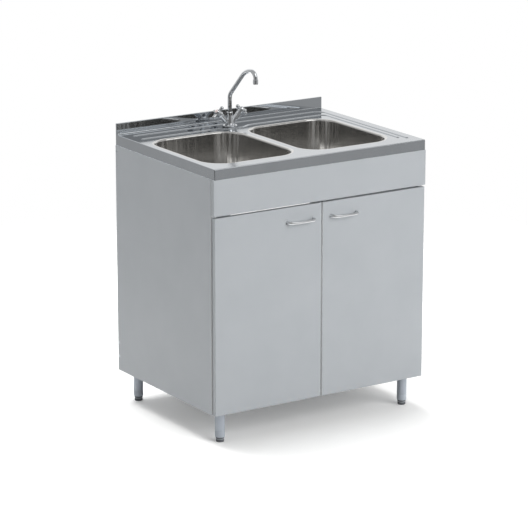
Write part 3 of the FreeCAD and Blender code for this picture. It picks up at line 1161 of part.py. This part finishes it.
def make_waste():
    down = V(0, 0, -1)
    up = V(0, 0, 1)
    strainers = [strainer(x) for x in (LEFT_WASTE_X, RIGHT_WASTE_X)]
    save("waste_strainers", Part.makeCompound(strainers))
    save("waste_bodies", Part.makeCompound([waste_body(x) for x in (LEFT_WASTE_X, RIGHT_WASTE_X)]))
    screws = []
    gaskets = []
    for x in (LEFT_WASTE_X, RIGHT_WASTE_X):
        seat = V(x, WASTE_Y, Z_STRAINER_PLATE)
        screws.append(screw(down, seat, WASTE_SCREW_LENGTH, WASTE_SCREW_RADIUS, 5.5, 2.5))
        ring = rod(STRAINER_RADIUS, V(x, WASTE_Y, Z_WASTE_BODY), V(x, WASTE_Y, Z_UNDER_BOWL))
        bore = rod(WASTE_HOLE_RADIUS, V(x, WASTE_Y, Z_WASTE_BODY - EPS), V(x, WASTE_Y, Z_UNDER_BOWL + EPS))
        gaskets.append(ring.cut(bore))
    save("waste_screws", Part.makeCompound(screws))
    save("waste_gaskets", Part.makeCompound(gaskets))

    branch_x = RIGHT_WASTE_X - ELBOW_RADIUS - 2.0
    left_top = V(LEFT_WASTE_X, WASTE_Y, Z_WASTE_END)
    points = [left_top, V(LEFT_WASTE_X, WASTE_Y, Z_BRANCH), V(branch_x, WASTE_Y, Z_BRANCH)]
    socket, socket_bore = pipe_socket(left_top, up)
    pipe = swept_rod(points, [ELBOW_RADIUS - 2.0], PIPE_RADIUS)
    longer = [left_top + up * EPS, points[1], points[2] + V(EPS, 0, 0)]
    inner = swept_rod(longer, [ELBOW_RADIUS - 2.0], PIPE_BORE)
    save("left_waste_pipe", pipe.fuse(socket).cut([socket_bore, inner]))

    right_top = V(RIGHT_WASTE_X, WASTE_Y, Z_WASTE_END)
    tee_end = V(RIGHT_WASTE_X, WASTE_Y, Z_TEE_END)
    branch = V(branch_x, WASTE_Y, Z_BRANCH)
    centre = V(RIGHT_WASTE_X, WASTE_Y, Z_BRANCH)
    top_socket, top_bore = pipe_socket(right_top, up)
    side_socket, side_bore = pipe_socket(branch, V(-1, 0, 0))
    tee = joined([rod(PIPE_RADIUS, right_top, tee_end), top_socket, side_socket, rod(PIPE_RADIUS, branch, centre)])
    run_bore = rod(PIPE_BORE, right_top + up * EPS, tee_end - up * EPS)
    branch_bore = rod(PIPE_BORE, branch - V(EPS, 0, 0), centre)
    save("waste_tee", tee.cut([top_bore, side_bore, run_bore, branch_bore]))

    head_low = Z_TEE_END - TRAP_HEAD
    inside = TRAP_RADIUS - WASTE_BODY_WALL
    head = turned(
        [(0, Z_TEE_END), (PIPE_RADIUS + SOCKET_WALL, Z_TEE_END), (TRAP_RADIUS, Z_TEE_END - 10.0), (TRAP_RADIUS, head_low), (0, head_low)],
        V(RIGHT_WASTE_X, WASTE_Y, 0),
    )
    head_hollow = turned(
        [(0, Z_TEE_END - WASTE_BODY_WALL), (PIPE_RADIUS, Z_TEE_END - WASTE_BODY_WALL),
         (inside, Z_TEE_END - 10.0 - WASTE_BODY_WALL / 2), (inside, head_low - EPS), (0, head_low - EPS)],
        V(RIGHT_WASTE_X, WASTE_Y, 0),
    )
    dip_end = tee_end - up * (TRAP_HEAD + TRAP_DIP)
    dip = rod(PIPE_RADIUS, tee_end, dip_end)
    dip_bore = rod(PIPE_BORE, tee_end + up * EPS, dip_end - up * EPS)
    inlet, inlet_bore = pipe_socket(tee_end, up)
    outlet_z = Z_TEE_END - TRAP_OUTLET_DROP
    outlet = V(RIGHT_WASTE_X, WASTE_Y + TRAP_SIDE_OUTLET, outlet_z)
    wall_point = V(RIGHT_WASTE_X, WASTE_Y + inside - 2.0, outlet_z)
    back = V(0, 1, 0)
    outlet_socket, outlet_bore = pipe_socket(outlet, back)
    spigot = rod(PIPE_RADIUS - 3.0, wall_point, outlet)
    spigot_bore = rod(PIPE_RADIUS - 5.0, wall_point - back * 4.0, outlet + back * EPS)
    hull = joined([head, inlet, outlet_socket, spigot]).cut([head_hollow, inlet_bore, outlet_bore])
    save("trap_body", hull.fuse(dip).cut([dip_bore, spigot_bore.cut(rod(PIPE_RADIUS + 0.01, tee_end, dip_end))]))

    cup_bore = TRAP_RADIUS + PIPE_PLAY
    cup_wall = cup_bore + WASTE_BODY_WALL
    cup_top = head_low + TRAP_THREAD
    cup_low = cup_top - TRAP_CUP_DEPTH
    cup = turned(
        [
            (0, cup_low), (cup_wall - 12.0, cup_low), (cup_wall - 4.0, cup_low + 4.0), (cup_wall - 2.0, cup_low + 14.0),
            (cup_wall, cup_top - TRAP_THREAD - 4.0), (cup_wall, cup_top), (cup_bore, cup_top), (cup_bore, head_low),
            (inside, head_low), (inside, cup_low + 14.0), (inside - 4.0, cup_low + 5.0), (0, cup_low + 3.0),
        ],
        V(RIGHT_WASTE_X, WASTE_Y, 0),
    )
    grips = []
    for i in range(TRAP_GRIPS):
        angle = 2 * math.pi * i / TRAP_GRIPS
        spot = V(RIGHT_WASTE_X + cup_wall * math.cos(angle), WASTE_Y + cup_wall * math.sin(angle), cup_top - TRAP_THREAD - 4.0)
        grips.append(rod(2.0, spot, spot + up * (TRAP_THREAD + 4.0)))
    clear = rod(cup_bore, V(RIGHT_WASTE_X, WASTE_Y, head_low), V(RIGHT_WASTE_X, WASTE_Y, cup_top + EPS))
    save("trap_cup", joined([cup] + grips).cut(clear))

    end = V(RIGHT_WASTE_X, Y_BACK - OUTLET_FROM_BACK, outlet_z)
    from_end, width, depth = OUTLET_MARK
    groove = rod(PIPE_RADIUS + EPS, end - back * (from_end + width), end - back * from_end)
    groove = groove.cut(rod(PIPE_RADIUS - depth, outlet, end))
    drain = rod(PIPE_RADIUS, outlet, end).cut([groove, rod(PIPE_BORE, outlet - back * EPS, end + back * EPS)])
    save("trap_outlet_pipe", drain)


def write_parts():
    os.makedirs("parts", exist_ok=True)
    for name, shape in SOLIDS.items():
        tidy = shape.removeSplitter()
        print("%-24s solids %2d  volume %10.1f  valid %s" % (name, len(tidy.Solids), tidy.Volume, tidy.isValid()))
        tidy.exportStep("parts/%s.step" % name)


make_cabinet()
make_legs()
make_hinges()
make_doors()
make_sink()
make_tap()
make_waste()
write_parts()
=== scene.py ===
"""Kitchen sink unit: board cabinet on four legs, stainless sink with a folded upstand, chrome mixer tap."""

import json
import math

import bmesh
import bpy
from mathutils import Matrix, Vector


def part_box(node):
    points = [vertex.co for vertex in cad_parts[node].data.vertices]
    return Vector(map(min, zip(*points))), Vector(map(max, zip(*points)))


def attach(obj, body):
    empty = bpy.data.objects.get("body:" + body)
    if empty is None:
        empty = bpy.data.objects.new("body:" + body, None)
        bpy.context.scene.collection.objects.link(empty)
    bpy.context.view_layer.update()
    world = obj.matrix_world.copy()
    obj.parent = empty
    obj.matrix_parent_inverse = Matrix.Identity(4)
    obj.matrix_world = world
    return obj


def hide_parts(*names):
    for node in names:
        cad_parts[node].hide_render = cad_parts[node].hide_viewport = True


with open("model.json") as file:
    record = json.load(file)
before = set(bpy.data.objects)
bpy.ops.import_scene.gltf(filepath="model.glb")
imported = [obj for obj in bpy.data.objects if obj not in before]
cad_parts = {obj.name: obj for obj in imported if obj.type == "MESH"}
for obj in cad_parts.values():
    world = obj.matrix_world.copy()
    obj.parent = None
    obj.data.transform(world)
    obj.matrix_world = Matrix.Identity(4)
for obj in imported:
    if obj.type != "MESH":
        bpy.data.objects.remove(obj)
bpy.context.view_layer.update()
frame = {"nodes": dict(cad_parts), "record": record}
carried_by = {
    node: body
    for body, nodes in frame["record"]["behaviour"]["bodies"].items()
    for node in nodes
}

UPSTAND_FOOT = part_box("tap_gasket")[1][2]       # the upstand stands clear of the deck above this height
UPSTAND_LEAN = 0.06                             # how far it leans back for each metre of height, in metres
PANEL_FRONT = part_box("left_side_panel")[0][1]
DOOR_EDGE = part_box("left_door")[1][0]           # closing edge of the left door, near the middle of the unit
# Within this distance of the side panels' front, the carcass boards' front edges are painted paler: painted
# light that lifts the shade in the gap behind the doors.
LIT_EDGE_DEPTH = 0.0006
FOOT_RING = (0.0102, 0.0016)                    # height of the ring's middle, half its width
ROUNDING = {
    "left_side_panel": 0.0004,
    "right_side_panel": 0.0004,
    "bottom_panel": 0.0005,
    "front_rail": 0.0005,
    "back_top_rail": 0.0005,
    "back_bottom_rail": 0.0005,
    "false_front": 0.0008,
    "left_door": 0.0008,
    "right_door": 0.0008,
}
ROUNDING_STEPS = 3
SHARPEST_SMOOTHED = 32.0                        # degrees between two faces that still shade as one
MERGE = 2e-6
TOUCH = 1e-5

FLOOR_RADIUS = 2.75
FLOOR_FADE = (1.7, 2.7)                         # distances from the cabinet
FLOOR_GLOW = 0.12
AIR_STOPS = ((0.0, 0.16), (0.30, 0.46), (0.70, 0.46), (0.93, 1.0))
AWAY = (0.5438, 0.8392, 0.0)                    # level direction from the camera to the cabinet
CAMERA_PLACE = (-4.715626, -7.227875, 2.782045)
CAMERA_RIGHT = (0.83919, -0.54383, 0.0)
CAMERA_UP = (0.14054, 0.21688, 0.96603)
CAMERA_BACK = (-0.52536, -0.81069, 0.25843)
LENS = 187.5965


# --- finishes -----------------------------------------------------------------------------------------------


def linear(colour):
    """A hex sRGB colour as the linear RGBA that the shader wants."""
    channels = [int(colour[i : i + 2], 16) / 255 for i in (1, 3, 5)]
    return [c / 12.92 if c <= 0.04045 else ((c + 0.055) / 1.055) ** 2.4 for c in channels] + [1.0]


def feed(node, inputs):
    """Fills a node's inputs, by name or number, from a node, an output, a hex colour or a plain value."""
    for name, value in inputs.items():
        socket = node.inputs[name]
        if not socket.enabled:
            socket = next(other for other in node.inputs if other.enabled and other.name == name)
        if isinstance(value, bpy.types.Node):
            value = next(output for output in value.outputs if output.enabled)
        if isinstance(value, bpy.types.NodeSocket):
            node.id_data.links.new(value, socket)
        else:
            socket.default_value = linear(value) if isinstance(value, str) else value


def add(tree, kind, inputs, **settings):
    """Adds a shader node with its settings and links."""
    made = tree.nodes.new("ShaderNode" + kind)
    for name, value in settings.items():
        setattr(made, name, value)
    feed(made, inputs)
    return made


def new_finish(name):
    """A new material: itself, its tree, its shader, and each point's place and facing on the object."""
    material = bpy.data.materials.new(name)
    material.use_nodes = True
    tree = material.node_tree
    here = add(tree, "TexCoord", {}).outputs
    return material, tree, tree.nodes["Principled BSDF"], here["Object"], here["Normal"]


def melamine_board(name, axis, lit_edge_at, half):
    """Board whose edges that lie across the axis, within half of the given place, are painted paler: painted
    light that lifts the shade in the gaps beside them.
    """
    # Melamine-faced chipboard, pressed against a pearl plate: a matt grey paper under a hard clear film.
    material, tree, shader, place, facing = new_finish(name)
    cloud = add(tree, "TexNoise", {"Vector": place, "Scale": 9.0, "Detail": 3.0})
    paper = add(tree, "Mix", {"Factor": cloud, "A": "#B0B5B9", "B": "#B9BDC1"}, data_type="RGBA")
    at = add(tree, "SeparateXYZ", {"Vector": place}).outputs
    way = add(tree, "SeparateXYZ", {"Vector": facing}).outputs
    near = add(tree, "Math", {0: at[axis], 1: lit_edge_at, 2: half}, operation="COMPARE")
    turned = add(tree, "Math", {0: way[axis]}, operation="ABSOLUTE")
    across = add(tree, "Math", {0: turned, 1: 0.6}, operation="GREATER_THAN")
    lit_edge = add(tree, "Math", {0: near, 1: across}, operation="MULTIPLY")
    # Painted light: the edges across the axis are painted paler, to lift the shade in the gap beside them.
    face = add(tree, "Mix", {"Factor": lit_edge, "A": paper, "B": "#E6E8E9"}, data_type="RGBA")
    # The pearl is 0.6 mm apart on the board and drawn at 1.5 mm so that it shows up close.
    pearl = add(tree, "TexNoise", {"Vector": place, "Scale": 660.0, "Detail": 2.0})
    gloss = add(tree, "MapRange", {"Value": pearl, "To Min": 0.40, "To Max": 0.54})
    relief = add(tree, "Bump", {"Height": pearl, "Distance": 0.00012})
    feed(shader, {"Base Color": face, "Roughness": gloss, "Normal": relief, "IOR": 1.5})
    return material


def rolled_stainless():
    # Cold-rolled stainless sheet, bright rolled: a mirror with faint lines along the roll and wipe marks.
    material, tree, shader, place, facing = new_finish("bright_rolled_stainless")
    at = add(tree, "SeparateXYZ", {"Vector": place}).outputs
    way = add(tree, "SeparateXYZ", {"Vector": facing}).outputs
    wiped = add(tree, "TexNoise", {"Vector": place, "Scale": 14.0, "Detail": 4.0})
    steel = add(tree, "Mix", {"Factor": wiped, "A": "#B5B9BD", "B": "#BDC1C5"}, data_type="RGBA")
    smears = add(tree, "MapRange", {"Value": wiped, "To Min": 0.02, "To Max": 0.05})
    # Use has dulled the deck round the bowls and left the strip behind them bright.
    used = {"Value": at["Y"], "From Min": 0.15, "From Max": 0.19, "To Min": 0.10, "To Max": 0.0}
    haze = add(tree, "Math", {0: smears, 1: add(tree, "MapRange", used)}, operation="ADD")
    # Pressing has dulled the sheet where it bends, along the ribs and the foot of the upstand.
    bend = add(tree, "Math", {0: way["Y"], 1: way["Z"]}, operation="MULTIPLY")
    bent = add(tree, "Math", {0: bend}, operation="ABSOLUTE")
    haze = add(tree, "Math", {0: bent, 1: 0.5, 2: haze}, operation="MULTIPLY_ADD")
    # Roll lines are 0.2 mm apart and some 60 mm long, drawn 1.2 mm apart.
    rolled = add(tree, "Mapping", {"Vector": place, "Scale": (16.0, 800.0, 800.0)})
    lines = add(tree, "TexNoise", {"Vector": rolled, "Scale": 1.0, "Detail": 3.0})
    relief = add(tree, "Bump", {"Height": lines, "Distance": 0.000001})
    # The upstand leans back by less over its height than its fold is thick, so only its shading leans.
    foot, bent_up = UPSTAND_FOOT, UPSTAND_FOOT + 0.002
    risen = {"Value": at["Z"], "From Min": foot, "From Max": bent_up, "To Max": -UPSTAND_LEAN}
    tilt = add(tree, "Math", {0: add(tree, "MapRange", risen), 1: way["Y"]}, operation="MULTIPLY")
    up = add(tree, "CombineXYZ", {"Z": tilt})
    leant = add(tree, "VectorMath", {0: relief, 1: up}, operation="ADD")
    unit = add(tree, "VectorMath", {0: leant}, operation="NORMALIZE")
    feed(shader, {"Base Color": steel, "Metallic": 1.0, "Roughness": haze, "Normal": unit})
    return material


def drawn_stainless():
    # Deep-drawn stainless, polished after pressing: soft upright drawing waves and a light haze.
    material, tree, shader, place, facing = new_finish("drawn_stainless")
    way = add(tree, "SeparateXYZ", {"Vector": facing}).outputs
    # Drawing waves are some 12 mm wide and as tall as the bowl.
    upright = add(tree, "Mapping", {"Vector": place, "Scale": (80.0, 80.0, 2.0)})
    waves = add(tree, "TexNoise", {"Vector": upright, "Scale": 1.0, "Detail": 3.0})
    steel = add(tree, "Mix", {"Factor": waves, "A": "#C9C8C6", "B": "#D3D2D0"}, data_type="RGBA")
    haze = add(tree, "MapRange", {"Value": waves, "To Min": 0.08, "To Max": 0.18})
    # The walls are drawn and the bottom stays flat.
    level = add(tree, "Math", {0: way["Z"]}, operation="ABSOLUTE")
    drawn_in = add(tree, "Math", {0: 1.0, 1: level}, operation="SUBTRACT")
    relief = add(tree, "Bump", {"Height": waves, "Distance": 0.0010, "Strength": drawn_in})
    # The corners are drawn the most, and pale upright streaks are painted in them as painted highlights,
    # where the metal is made partly matt.
    turn = add(tree, "Math", {0: way["X"], 1: way["Y"]}, operation="MULTIPLY")
    corner = add(tree, "Math", {0: turn}, operation="ABSOLUTE")
    painted_streak = add(tree, "MapRange", {"Value": waves, "From Min": 0.48, "From Max": 0.62, "To Max": 0.85})
    painted_corner_streaks = add(tree, "Math", {0: corner, 1: painted_streak}, operation="MULTIPLY")
    metal_outside_streaks = add(tree, "Math", {0: 0.97, 1: painted_corner_streaks}, operation="SUBTRACT")
    feed(shader, {"Base Color": steel, "Metallic": metal_outside_streaks, "Roughness": haze, "Normal": relief})
    return material


def chrome_plate():
    # Chromium on polished brass: a cold mirror with a thin film of dried water drops.
    material, tree, shader, place, _ = new_finish("chrome_plate")
    film = add(tree, "TexNoise", {"Vector": place, "Scale": 90.0, "Detail": 4.0})
    plate = add(tree, "Mix", {"Factor": film, "A": "#D6D9DC", "B": "#E4E6E8"}, data_type="RGBA")
    gloss = add(tree, "MapRange", {"Value": film, "To Min": 0.03, "To Max": 0.10})
    feed(shader, {"Base Color": plate, "Metallic": 1.0, "Roughness": gloss})
    return material


def zinc_plate():
    # Bright zinc on mild steel: slightly blue, with a fine spangle left by the bath.
    material, tree, shader, place, _ = new_finish("zinc_plate")
    spangle = add(tree, "TexVoronoi", {"Vector": place, "Scale": 420.0})
    zinc = add(tree, "Mix", {"Factor": spangle, "A": "#B9BEC4", "B": "#CDD1D4"}, data_type="RGBA")
    gloss = add(tree, "MapRange", {"Value": spangle, "To Min": 0.24, "To Max": 0.42})
    feed(shader, {"Base Color": zinc, "Metallic": 1.0, "Roughness": gloss})
    return material


def powder_coated_tube():
    # Silver-grey epoxy powder baked on steel tube: a soft gloss with orange peel.
    material, tree, shader, place, _ = new_finish("powder_coated_tube")
    peel = add(tree, "TexNoise", {"Vector": place, "Scale": 520.0, "Detail": 2.0})
    coat = add(tree, "Mix", {"Factor": peel, "A": "#ABB2BC", "B": "#BBC2CA"}, data_type="RGBA")
    gloss = add(tree, "MapRange", {"Value": peel, "To Min": 0.32, "To Max": 0.46})
    relief = add(tree, "Bump", {"Height": peel, "Distance": 0.00008})
    feed(shader, {"Base Color": coat, "Metallic": 0.15, "Roughness": gloss, "Normal": relief})
    return material


def moulded_foot():
    # Dark polypropylene, moulded with a fine spark-eroded texture, with a paler ring round its middle.
    material, tree, shader, place, _ = new_finish("moulded_foot")
    grain = add(tree, "TexNoise", {"Vector": place, "Scale": 900.0, "Detail": 3.0})
    dark = add(tree, "Mix", {"Factor": grain, "A": "#55585C", "B": "#666A6E"}, data_type="RGBA")
    middle, half = FOOT_RING
    height = add(tree, "SeparateXYZ", {"Vector": place}).outputs["Z"]
    ring = add(tree, "Math", {0: height, 1: middle, 2: half}, operation="COMPARE")
    colour = add(tree, "Mix", {"Factor": ring, "A": dark, "B": "#A2A6AA"}, data_type="RGBA")
    gloss = add(tree, "MapRange", {"Value": grain, "To Min": 0.45, "To Max": 0.6})
    relief = add(tree, "Bump", {"Height": grain, "Distance": 0.00006})
    feed(shader, {"Base Color": colour, "Roughness": gloss, "Normal": relief, "IOR": 1.49})
    return material


def satin_handle():
    # Die-cast zinc with a satin nickel finish, rubbed along its length.
    material, tree, shader, place, _ = new_finish("satin_handle")
    along = add(tree, "Mapping", {"Vector": place, "Scale": (30.0, 1600.0, 1600.0)})
    rub = add(tree, "TexNoise", {"Vector": along, "Scale": 1.0, "Detail": 3.0})
    nickel = add(tree, "Mix", {"Factor": rub, "A": "#C9CBCD", "B": "#DBDCDD"}, data_type="RGBA")
    gloss = add(tree, "MapRange", {"Value": rub, "To Min": 0.24, "To Max": 0.38})
    feed(shader, {"Base Color": nickel, "Metallic": 1.0, "Roughness": gloss})
    return material


def moulded(name, dark, pale, roughness):
    """A moulded part: a soft gloss, faint flow clouds and a fine mould grain."""
    material, tree, shader, place, _ = new_finish(name)
    flow = add(tree, "TexNoise", {"Vector": place, "Scale": 60.0, "Detail": 3.0})
    colour = add(tree, "Mix", {"Factor": flow, "A": dark, "B": pale}, data_type="RGBA")
    gloss = add(tree, "MapRange", {"Value": flow, "To Min": roughness - 0.06, "To Max": roughness + 0.08})
    grain = add(tree, "TexNoise", {"Vector": place, "Scale": 1200.0})
    relief = add(tree, "Bump", {"Height": grain, "Distance": 0.00003})
    feed(shader, {"Base Color": colour, "Roughness": gloss, "Normal": relief, "IOR": 1.5})
    return material


FINISH = {
    "grey_board": melamine_board("melamine_carcass_board", "Y", PANEL_FRONT, LIT_EDGE_DEPTH),
    "stainless": rolled_stainless(),
    "chrome": chrome_plate(),
    "plated_steel": zinc_plate(),
    "leg_metal": powder_coated_tube(),
    "bush_plastic": moulded("grey_polyamide_bush", "#B4BBC4", "#BEC5CD", 0.42),
    "foot_plastic": moulded_foot(),
    "handle_metal": satin_handle(),
    "grey_rubber": moulded("moulded_rubber", "#5B5E61", "#686B6E", 0.6),
    "white_plastic": moulded("white_polypropylene", "#DDDEDC", "#E8E8E6", 0.35),
    "red_plastic": moulded("red_acetal", "#A59593", "#B0A09E", 0.25),
    "blue_plastic": moulded("blue_acetal", "#2A55A0", "#3463B2", 0.25),
}
bowl_steel = drawn_stainless()
# Only the doors' closing edges, on both sides of the middle of the unit, are painted paler: painted light
# that lifts the shade in the gap between the doors.
front_board = melamine_board("melamine_front_board", "X", 0.0, -DOOR_EDGE + 0.001)
OWN_FINISH = {
    "left_bowl": bowl_steel,
    "right_bowl": bowl_steel,
    "false_front": front_board,
    "left_door": front_board,
    "right_door": front_board,
}


# --- pieces -------------------------------------------------------------------------------------------------


def copied(node):
    """A bmesh of a CAD node with its loose triangles joined."""
    shape = bmesh.new()
    shape.from_mesh(frame["nodes"][node].data)
    bmesh.ops.remove_doubles(shape, verts=shape.verts, dist=MERGE)
    return shape


def evened(mesh):
    """Smooths a mesh by the area of the faces round each corner, so that a flat beside a bend stays flat."""
    mesh.shade_smooth()
    flattest = math.cos(math.radians(SHARPEST_SMOOTHED))
    ways = [face.normal.copy() for face in mesh.polygons]
    areas = [face.area for face in mesh.polygons]
    touching = [[] for _ in mesh.vertices]
    for face in mesh.polygons:
        for vert in face.vertices:
            touching[vert].append(face.index)
    corners = []
    for face in mesh.polygons:
        way = ways[face.index]
        for vert in face.vertices:
            total = Vector()
            for other in touching[vert]:
                if way.dot(ways[other]) > flattest:
                    total += ways[other] * areas[other]
            corners.append(total.normalized() if total.length > 0 else way)
    mesh.normals_split_custom_set(corners)


def finished(name, shape, slot, node):
    """Turns a bmesh into a piece that rides on its body and stands for the CAD node it replaces."""
    mesh = bpy.data.meshes.new(name)
    shape.to_mesh(mesh)
    shape.free()
    evened(mesh)
    mesh.materials.append(OWN_FINISH.get(node, FINISH[slot]))
    piece = bpy.data.objects.new(name, mesh)
    bpy.context.scene.collection.objects.link(piece)
    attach(piece, carried_by[node])
    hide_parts(node)


def softened(shape, width, low, high):
    """Rounds the outer edges of a board whose box is low to high."""
    bmesh.ops.dissolve_limit(
        shape, angle_limit=math.radians(0.5), verts=shape.verts, edges=shape.edges, delimit=set()
    )

    def on_faces(vert):
        return {
            (axis, side)
            for axis in range(3)
            for side, corner in enumerate((low, high))
            if abs(vert.co[axis] - corner[axis]) < TOUCH
        }

    outer = [e for e in shape.edges if len(on_faces(e.verts[0]) & on_faces(e.verts[1])) >= 2]
    bmesh.ops.bevel(
        shape,
        geom=outer,
        offset=width,
        offset_type="OFFSET",
        segments=ROUNDING_STEPS,
        profile=0.5,
        affect="EDGES",
        material=-1,
    )
    return shape


for node, width in ROUNDING.items():
    finished(node + "_board", softened(copied(node), width, *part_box(node)), "grey_board", node)

SMOOTHED = {
    "stainless": ["sink_deck", "left_bowl", "right_bowl", "waste_strainers", "waste_screws"],
    "chrome": [
        "tap_body", "spout_nut", "hot_headwork", "cold_headwork", "spout", "aerator",
        "hot_tap_handle", "cold_tap_handle", "hot_spindle", "cold_spindle", "tap_backnut",
    ],
    "plated_steel": [
        "false_front_screws", "cam_locks", "cam_bolts", "rail_screws", "chipboard_screws", "hinge_arms",
        "hinge_plates", "sink_clips", "left_handle_screws", "right_handle_screws",
        "left_upper_hinge_cup", "left_lower_hinge_cup", "right_upper_hinge_cup", "right_lower_hinge_cup",
    ],
    "leg_metal": ["front_left_leg", "front_right_leg", "back_left_leg", "back_right_leg"],
    "bush_plastic": ["leg_bushes"],
    "foot_plastic": ["front_left_foot", "front_right_foot", "back_left_foot", "back_right_foot"],
    "handle_metal": ["left_handle", "right_handle"],
    "grey_rubber": ["tap_gasket", "waste_gaskets"],
    "white_plastic": [
        "waste_bodies", "left_waste_pipe", "waste_tee", "trap_body", "trap_cup", "trap_outlet_pipe",
    ],
    "red_plastic": ["hot_index"],
    "blue_plastic": ["cold_index"],
}
for slot, nodes in SMOOTHED.items():
    for node in nodes:
        finished(node + "_piece", copied(node), slot, node)


# --- studio -------------------------------------------------------------------------------------------------


def white_floor():
    """A floor that looks white, lights the cabinet less than white would, and melts away into the air."""
    material, tree, shader, place, _ = new_finish("white_studio_floor")
    rays = add(tree, "LightPath", {}).outputs
    seen = add(tree, "Math", {0: rays["Is Camera Ray"], 1: rays["Is Glossy Ray"]}, operation="MAXIMUM")
    seen = add(tree, "Math", {0: seen, 1: rays["Is Transmission Ray"]}, operation="MAXIMUM")
    paint = add(tree, "Mix", {"Factor": seen, "A": "#A8A8A8", "B": "#FAFAF9"}, data_type="RGBA")
    glow = add(tree, "Math", {0: seen, 1: FLOOR_GLOW}, operation="MULTIPLY")
    far = add(tree, "VectorMath", {0: place}, operation="LENGTH")
    near, gone = FLOOR_FADE
    spread = {"Value": far, "From Min": near, "From Max": gone, "To Min": 1.0, "To Max": 0.0}
    fade = add(tree, "MapRange", spread, interpolation_type="SMOOTHSTEP")
    feed(shader, {"Base Color": paint, "Roughness": 0.9, "Specular IOR Level": 0.1, "Alpha": fade})
    feed(shader, {"Emission Color": "#FFFFFF", "Emission Strength": glow})
    return material


floor_shape = bmesh.new()
bmesh.ops.create_circle(floor_shape, cap_ends=True, segments=96, radius=FLOOR_RADIUS)
floor_mesh = bpy.data.meshes.new("studio_floor")
floor_shape.to_mesh(floor_mesh)
floor_shape.free()
floor_mesh.materials.append(white_floor())
floor = bpy.data.objects.new("studio_floor", floor_mesh)
bpy.context.scene.collection.objects.link(floor)


def soft_box(name, place, aimed_height, size, watts, hidden_from):
    """A soft lamp that shines on the middle of the cabinet at a height, and that some rays don't see."""
    lamp = bpy.data.lights.new(name, "AREA")
    lamp.shape = "RECTANGLE"
    lamp.size, lamp.size_y = size
    lamp.energy = watts
    made = bpy.data.objects.new(name, lamp)
    made.location = place
    aim = Vector((0.0, 0.0, aimed_height)) - Vector(place)
    made.rotation_euler = aim.to_track_quat("-Z", "Y").to_euler()
    setattr(made, hidden_from, False)
    bpy.context.scene.collection.objects.link(made)


# The key lights by itself and a weaker twin of it gleams in the metal, as a large dim window would.
soft_box("key_light", (1.5, -4.2, 2.1), 0.4, (3.6, 3.2), 150, "visible_glossy")
soft_box("key_gleam", (0.9, -3.3, 4.5), 0.4, (3.8, 3.8), 65, "visible_diffuse")
soft_box("side_light", (-4.0, -0.6, 2.2), 0.5, (2.6, 2.6), 14, "visible_glossy")
soft_box("top_light", (-0.2, 1.4, 4.0), 0.6, (3.2, 3.2), 220, "visible_glossy")

# The air is white behind the cabinet, as the photograph shows it, and greyer towards the camera's own side.
world = bpy.data.worlds.new("studio_air")
bpy.context.scene.world = world
world.use_nodes = True
air = world.node_tree
way = add(air, "TexCoord", {}).outputs["Generated"]
behind = add(air, "VectorMath", {0: way, 1: AWAY}, operation="DOT_PRODUCT")
ramp = add(air, "ValToRGB", {"Fac": add(air, "MapRange", {"Value": behind, "From Min": -1.0})})
ramp.color_ramp.interpolation = "EASE"
stops = ramp.color_ramp.elements
stops[0].position, stops[1].position = AIR_STOPS[0][0], AIR_STOPS[-1][0]
for position, _ in AIR_STOPS[1:-1]:
    stops.new(position)
for stop, (_, level) in zip(stops, AIR_STOPS):
    stop.color = (level, level, level, 1.0)
feed(air.nodes["Background"], {"Color": ramp, "Strength": 1.0})

lens = bpy.data.cameras.new("photo_view")
lens.sensor_width = 36.0
lens.lens = LENS
camera = bpy.data.objects.new("photo_view", lens)
turn = Matrix((CAMERA_RIGHT, CAMERA_UP, CAMERA_BACK)).transposed().to_4x4()
camera.matrix_world = Matrix.Translation(CAMERA_PLACE) @ turn
bpy.context.scene.collection.objects.link(camera)
bpy.context.scene.camera = camera
bpy.context.scene.view_settings.view_transform = "Standard"

bpy.context.view_layer.update()
